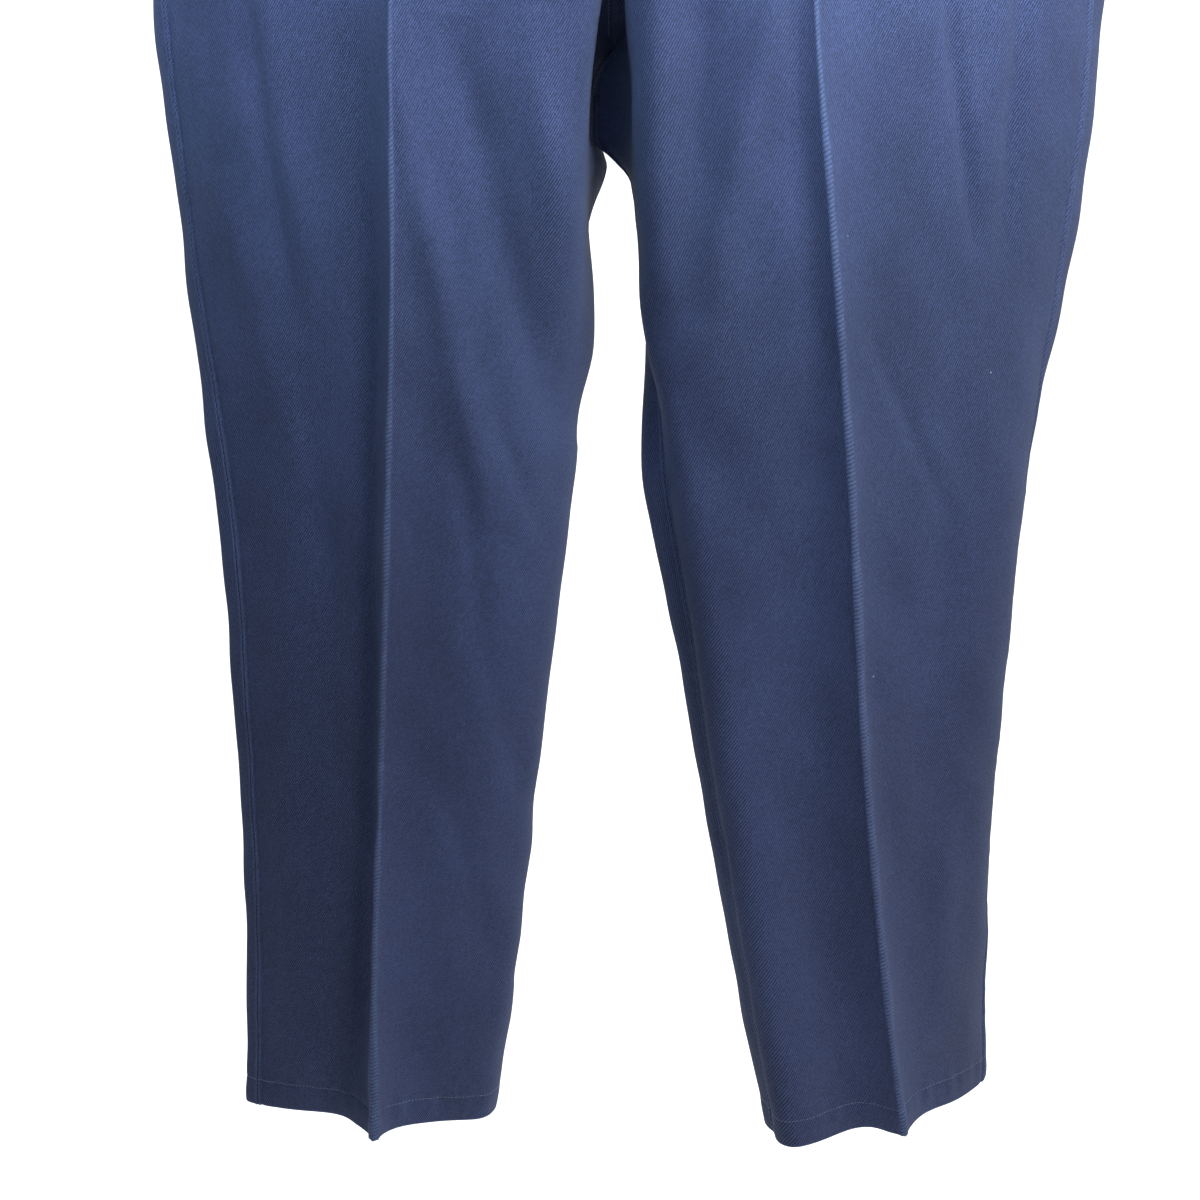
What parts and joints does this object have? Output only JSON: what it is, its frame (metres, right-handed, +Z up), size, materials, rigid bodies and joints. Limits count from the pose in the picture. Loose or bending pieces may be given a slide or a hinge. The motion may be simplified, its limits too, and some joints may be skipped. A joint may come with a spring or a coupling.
{
  "type": "work pants",
  "caption": "Straight navy twill work pants hanging hollow and filled out, with pressed front creases, a lapped buttoned waistband and open turned hems.",
  "frame": {"origin": "middle of the waist opening, at half the height of the waistband, where a wearer or a waist clamp holds it", "axes": "+Z up along the legs, the front faces -Y, the wearer's left is +X"},
  "size_m": [0.6711, 0.1988, 1.0915],
  "materials": {
    "navy_twill": "matte twill weave",
    "navy_plastic": "satin"
  },
  "bodies": {
    "root": {"front_right": "navy_twill", "front_left": "navy_twill", "back_right": "navy_twill", "back_left": "navy_twill", "waistband_right": "navy_twill", "waistband_left": "navy_twill", "fly_flap": "navy_twill", "waist_button": "navy_plastic"}
  },
  "joints": []
}
